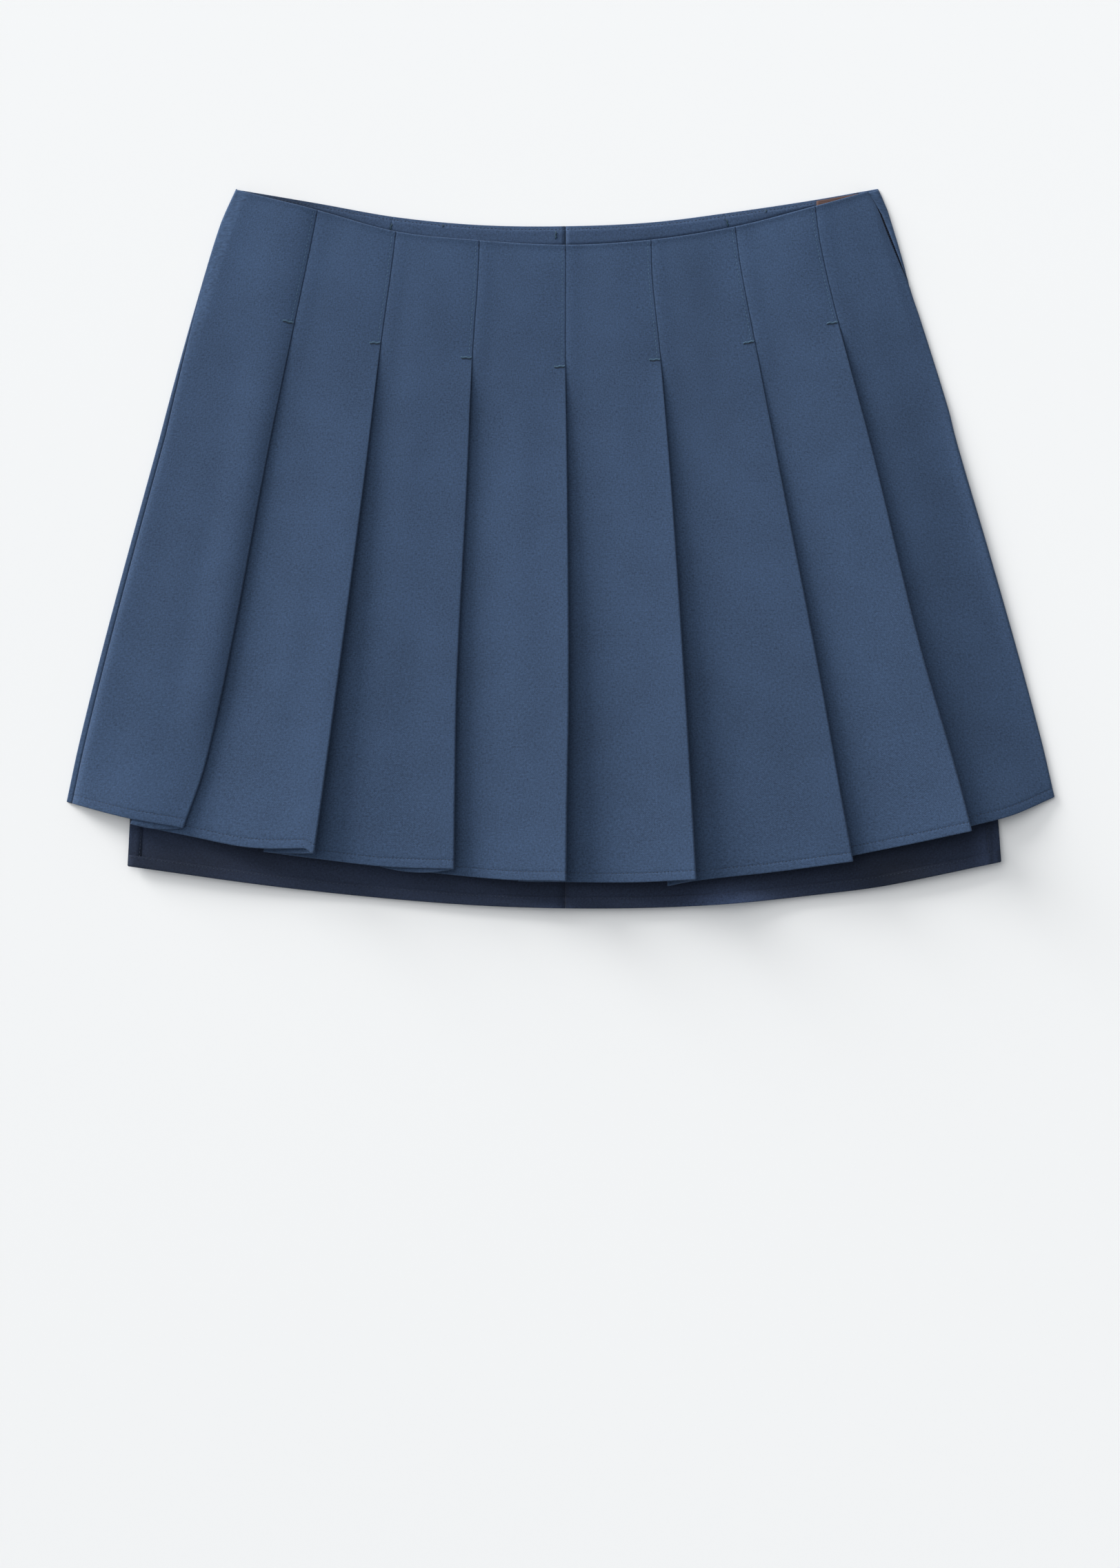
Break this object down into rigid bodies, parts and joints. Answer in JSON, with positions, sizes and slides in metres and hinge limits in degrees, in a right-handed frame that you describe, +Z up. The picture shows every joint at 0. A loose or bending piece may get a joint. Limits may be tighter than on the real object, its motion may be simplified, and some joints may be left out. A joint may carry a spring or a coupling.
{
  "type": "pleated mini skirt, laid flat",
  "caption": "A-line mini skirt of plain dark cloth lying flat, knife pleats across its front, plain back with a longer stepped hem, zip in one side seam.",
  "frame": {"origin": "centre of the bounding box in X and Y, on the surface the skirt lies on", "axes": "+X across the skirt to the viewer's right, +Y from the hem to the waist, +Z up out of the surface"},
  "size_m": [0.6013, 0.4377, 0.0115],
  "materials": {
    "skirt_cloth": "fine matte twill, dark slate blue",
    "facing_cloth": "the inside of the same twill, darker",
    "zip_tape": "plain navy tape",
    "woven_label": "plain brown satin ribbon, no text"
  },
  "bodies": {
    "root": {"front_panel": "skirt_cloth", "back_panel_left": "skirt_cloth", "back_panel_right": "skirt_cloth", "back_facing_left": "facing_cloth", "back_facing_right": "facing_cloth", "side_zip": "zip_tape", "waist_label": "woven_label"}
  },
  "joints": []
}
